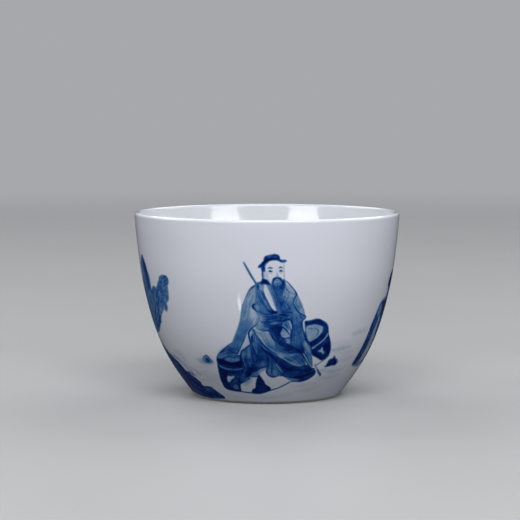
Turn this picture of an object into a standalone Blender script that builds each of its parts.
"""Footed porcelain teacup without a handle: a thin turned paste bowl on a low unglazed foot ring, coated outside (and over the
lip), inside, and in the recess under the foot, each coat poured or dipped on its own.

Frame: origin at the centre of the foot ring's bearing face, +Z up the cup's axis, -Y the side that carries the painted figure.
Lengths below are in millimetres and are turned into metres where the meshes are made.
"""

import math

import bpy
import numpy as np

# ------------------------------------------------------------------ driving dimensions (mm)
RIM_RADIUS = 37.5  # widest point of the lip
CUP_HEIGHT = 51.95  # bearing face to the crest of the lip
LIP_THICKNESS = 1.4  # over both glaze coats, rounded over in a full half circle
GLAZE = 0.25  # thickness of each glaze coat
SEAM = 0.05  # space left between two coats or pieces that touch in the fired cup

# outside of the cup, (height, radius), from the foot's corner up to where the lip starts to round, and its slope at both ends
OUTSIDE = (
    (0.0, 20.65),
    (6.35, 25.35),
    (12.35, 28.95),
    (18.35, 31.53),
    (24.35, 33.4),
    (30.35, 34.85),
    (36.35, 35.95),
    (42.35, 36.7),
    (48.35, 37.3),
    (51.2, RIM_RADIUS),
)
OUTSIDE_ENDS = (0.78, 0.07)
# full thickness of the wall, both coats included, by height: thin at the lip, heavier towards the foot
WALL = ((14.35, 2.35), (23.35, 1.95), (34.35, 1.65), (45.35, 1.45), (51.2, LIP_THICKNESS))
WALL_ENDS = (-0.05, 0.0)
FLOOR_TOP = 6.25  # the visible inside floor at the centre
FLOOR_JOIN = 15.35  # height at which the wall starts to turn into the floor
FLOOR_UNDERSIDE = 3.3  # underside of the paste floor

FOOT_INNER_RADIUS = 17.6  # inner wall of the foot ring
FOOT_EDGE = 0.55  # rounding of the foot ring's bearing edge
GLAZE_LINE = 0.55  # height at which the outer coat was wiped off the foot
RECESS_FILLET = 1.0  # pooled glaze in the corner under the floor

STEPS = 48  # facets round the axis, the same for every turned piece so that touching faces stay parallel

MM = 0.001


# ------------------------------------------------------------------ curves
def cubic(points, ends, at):
    """(value, slope) of the smooth cubic spline through the points, with these slopes at its ends."""
    x, y = (np.array(c, float) for c in zip(*points))
    count, h = len(x), np.diff(x)
    rise = np.diff(y) / h
    rows, known = np.zeros((count, count)), np.zeros(count)
    rows[0, 0] = rows[-1, -1] = 1
    known[0], known[-1] = ends
    for i in range(1, count - 1):
        rows[i, i - 1 : i + 2] = 1 / h[i - 1], 2 / h[i - 1] + 2 / h[i], 1 / h[i]
        known[i] = 3 * (rise[i - 1] / h[i - 1] + rise[i] / h[i])
    m = np.linalg.solve(rows, known)
    at = np.clip(np.atleast_1d(np.asarray(at, float)), x[0], x[-1])
    i = np.clip(np.searchsorted(x, at, side="right") - 1, 0, count - 2)
    h = h[i]
    t = (at - x[i]) / h
    value = (
        (1 + 2 * t) * (1 - t) ** 2 * y[i]
        + t * (1 - t) ** 2 * h * m[i]
        + t**2 * (3 - 2 * t) * y[i + 1]
        + t**2 * (t - 1) * h * m[i + 1]
    )
    slope = (
        6 * t * (t - 1) * (y[i] - y[i + 1]) / h
        + (1 - t) * (1 - 3 * t) * m[i]
        + t * (3 * t - 2) * m[i + 1]
    )
    return value, slope


def outside_at(height, depth):
    """Points of the outer wall at these heights, moved this deep into the wall along its normal, as (radius, z)."""
    height = np.atleast_1d(np.asarray(height, float))
    radius, slope = cubic(OUTSIDE, OUTSIDE_ENDS, height)
    length = np.sqrt(1 + slope**2)
    return np.stack([radius - depth / length, height + depth * slope / length], axis=1)


def height_under(z, depth):
    """Height on the outer wall whose point this deep inside it lies at z."""
    height = np.linspace(z - 2, z + 1, 3001)
    return float(np.interp(z, outside_at(height, depth)[:, 1], height))


LIP_R = LIP_THICKNESS / 2
LIP_CENTRE = np.array([RIM_RADIUS - LIP_R, CUP_HEIGHT - LIP_R])
LIP_LEAN = math.atan(OUTSIDE_ENDS[1])


def lip_at(degrees, depth):
    """Points on the rounded lip, 0 at the outer wall and 180 at the inner one, this deep under its surface."""
    a = np.radians(np.atleast_1d(np.asarray(degrees, float))) - LIP_LEAN
    return LIP_CENTRE + (LIP_R - depth) * np.stack([np.cos(a), np.sin(a)], axis=1)


def inside_curve():
    """The visible inside of the cup from the lip down the wall to the centre of the floor, closely spaced."""
    height = np.linspace(OUTSIDE[-1][0], FLOOR_JOIN, 200)
    wall = cubic(WALL, WALL_ENDS, height)[0]
    radius, slope = cubic(OUTSIDE, OUTSIDE_ENDS, height)
    length = np.sqrt(1 + slope**2)
    down = np.stack([radius - wall / length, height + wall * slope / length], axis=1)
    tangent = down[-1] - down[-2]
    tangent /= np.hypot(*tangent)
    start, end = down[-1], np.array([0.0, FLOOR_TOP])
    lean, spread = start + 9.2 * tangent, np.array([15.5, FLOOR_TOP])
    t = np.linspace(0, 1, 241)[1:, None]
    floor = (
        (1 - t) ** 3 * start
        + 3 * t * (1 - t) ** 2 * lean
        + 3 * t**2 * (1 - t) * spread
        + t**3 * end
    )
    return np.concatenate([down, floor])


INSIDE = inside_curve()
INSIDE_LENGTH = np.concatenate([[0], np.cumsum(np.hypot(*np.diff(INSIDE, axis=0).T))])


def inside_at(share, depth):
    """Points of the inside at these shares of its length from the lip to the centre, this deep under its surface."""
    at = np.atleast_1d(np.asarray(share, float)) * INSIDE_LENGTH[-1]
    point = np.stack([np.interp(at, INSIDE_LENGTH, INSIDE[:, k]) for k in (0, 1)], axis=1)
    run = np.gradient(INSIDE, axis=0)
    run = np.stack([np.interp(at, INSIDE_LENGTH, run[:, k]) for k in (0, 1)], axis=1)
    run /= np.hypot(run[:, 0], run[:, 1])[:, None]
    under = np.stack([-run[:, 1], run[:, 0]], axis=1)  # from the surface into the paste
    moved = point + depth * under
    moved[at >= INSIDE_LENGTH[-1] - 1e-6, 0] = 0.0
    return moved


# ------------------------------------------------------------------ pieces
def material(name, colour, roughness, coat):
    made = bpy.data.materials.new(name)
    made.use_nodes = True
    shader = made.node_tree.nodes["Principled BSDF"]
    shader.inputs["Base Color"].default_value = (*colour, 1.0)
    shader.inputs["Roughness"].default_value = roughness
    shader.inputs["Coat Weight"].default_value = coat
    shader.inputs["Coat Roughness"].default_value = 0.04
    made.diffuse_color = (*colour, 1.0)
    return made


def turned(name, profile, closed, surface, collection):
    """One turned piece. The profile, in (radius, z), runs down its outer side."""
    profile = np.asarray(profile, float)
    count = len(profile)
    vertices = [(r * MM, 0.0, z * MM) for r, z in profile]
    edges = [(i, i + 1) for i in range(count - 1)] + ([(count - 1, 0)] if closed else [])
    mesh = bpy.data.meshes.new(name)
    mesh.from_pydata(vertices, edges, [])
    mesh.materials.append(surface)
    piece = bpy.data.objects.new(name, mesh)
    collection.objects.link(piece)
    screw = piece.modifiers.new("turn", "SCREW")
    screw.axis = "Z"
    screw.angle = 2 * math.pi
    screw.steps = screw.render_steps = STEPS
    screw.use_merge_vertices = True
    screw.merge_threshold = 1e-5
    screw.use_smooth_shade = True
    return piece


def main():
    for old in list(bpy.data.objects):
        bpy.data.objects.remove(old, do_unlink=True)
    teacup = bpy.data.collections.new("teacup")
    bpy.context.scene.collection.children.link(teacup)

    under_glaze = GLAZE + SEAM
    lip_end = 0.018  # share of the inside that the outer coat reaches down from the lip
    inner_stations = np.array(
        [0.0, lip_end, 0.07, 0.14, 0.23, 0.32, 0.41, 0.50, 0.57, 0.63, 0.69, 0.75, 0.82, 0.91, 1.0]
    )
    foot_station = height_under(FLOOR_UNDERSIDE, under_glaze)
    outer_heights = np.array(
        [51.2, 47.85, 43.85, 38.85, 33.35, 27.85, 22.85, 17.85, 13.35, 9.35, 6.08, foot_station]
    )
    lean = math.degrees(LIP_LEAN)
    lip = np.array([lean, 45 + lean, 90 + lean, 135 + lean, 180])

    # the paste bowl: inside up to the lip, over it, down the outside, and across the underside
    foot_top = FLOOR_UNDERSIDE
    bowl = np.concatenate(
        [
            inside_at(inner_stations[::-1], under_glaze)[:-1],
            lip_at(lip[::-1], under_glaze),
            outside_at(outer_heights[1:], under_glaze),
            [[FOOT_INNER_RADIUS, foot_top], [0.0, foot_top]],
        ]
    )
    turned("cup_body", bowl, False, material("porcelain_paste", (0.86, 0.84, 0.80), 0.55, 0.0), teacup)

    # the foot ring: carries the cup, its bearing edge left bare and rounded
    ring_top = foot_top - SEAM
    ring_corner = outside_at(height_under(ring_top, under_glaze), under_glaze)[0]
    flank = outside_at([GLAZE_LINE, 0.30], under_glaze)
    toe = flank[-1]
    ring = np.array(
        [
            [FOOT_INNER_RADIUS - 0.1, ring_top],
            ring_corner,
            flank[0],
            toe,
            [toe[0] - 0.14, 0.18],
            [toe[0] - 0.34, 0.05],
            [toe[0] - FOOT_EDGE - 0.06, 0.0],
            [FOOT_INNER_RADIUS + 0.20 + FOOT_EDGE, 0.0],
            [FOOT_INNER_RADIUS + 0.30, 0.10],
            [FOOT_INNER_RADIUS + 0.08, 0.34],
            [FOOT_INNER_RADIUS, GLAZE_LINE],
        ]
    )
    turned("foot_ring", ring, True, material("bare_foot", (0.74, 0.64, 0.53), 0.75, 0.0), teacup)

    # the outer coat: from just inside the lip, over it and down to the wiped line on the foot
    seam_share = SEAM / INSIDE_LENGTH[-1]
    outer_low = np.concatenate([outer_heights[1:], [GLAZE_LINE]])
    face = np.concatenate(
        [inside_at([lip_end], 0.0), lip_at(lip[::-1], 0.0), outside_at(outer_low, 0.0)]
    )
    back = np.concatenate(
        [inside_at([lip_end], GLAZE), lip_at(lip[::-1], GLAZE), outside_at(outer_low, GLAZE)]
    )
    glaze = material("glaze_outside", (0.80, 0.84, 0.90), 0.08, 0.6)
    turned("outer_glaze", np.concatenate([face, back[::-1]]), True, glaze, teacup)

    # the inner coat: lines the whole inside from the end of the outer one to the centre of the floor
    lining = np.concatenate([[lip_end + seam_share], inner_stations[2:]])
    face = inside_at(lining[::-1], 0.0)
    back = inside_at(lining, GLAZE)
    glaze = material("glaze_inside", (0.82, 0.86, 0.91), 0.08, 0.6)
    turned("inner_glaze", np.concatenate([face, back]), False, glaze, teacup)

    # the coat in the recess: across the underside of the floor and a little way down the ring's inner wall
    top, low = ring_top, ring_top - GLAZE
    reach = FOOT_INNER_RADIUS - 0.1 - SEAM
    turn = np.radians([90, 60, 30, 0])
    fillet_centre = np.array([reach - GLAZE - RECESS_FILLET, low - RECESS_FILLET])
    fillet = fillet_centre + RECESS_FILLET * np.stack([np.cos(turn), np.sin(turn)], axis=1)
    recess = np.concatenate(
        [
            [[0.0, top], [fillet_centre[0], top], [reach, top]],
            [[FOOT_INNER_RADIUS - SEAM, GLAZE_LINE + SEAM], [reach - GLAZE, GLAZE_LINE + SEAM]],
            fillet[::-1],
            [[0.0, low]],
        ]
    )
    glaze = material("glaze_recess", (0.80, 0.84, 0.89), 0.12, 0.5)
    turned("base_glaze", recess, False, glaze, teacup)


main()
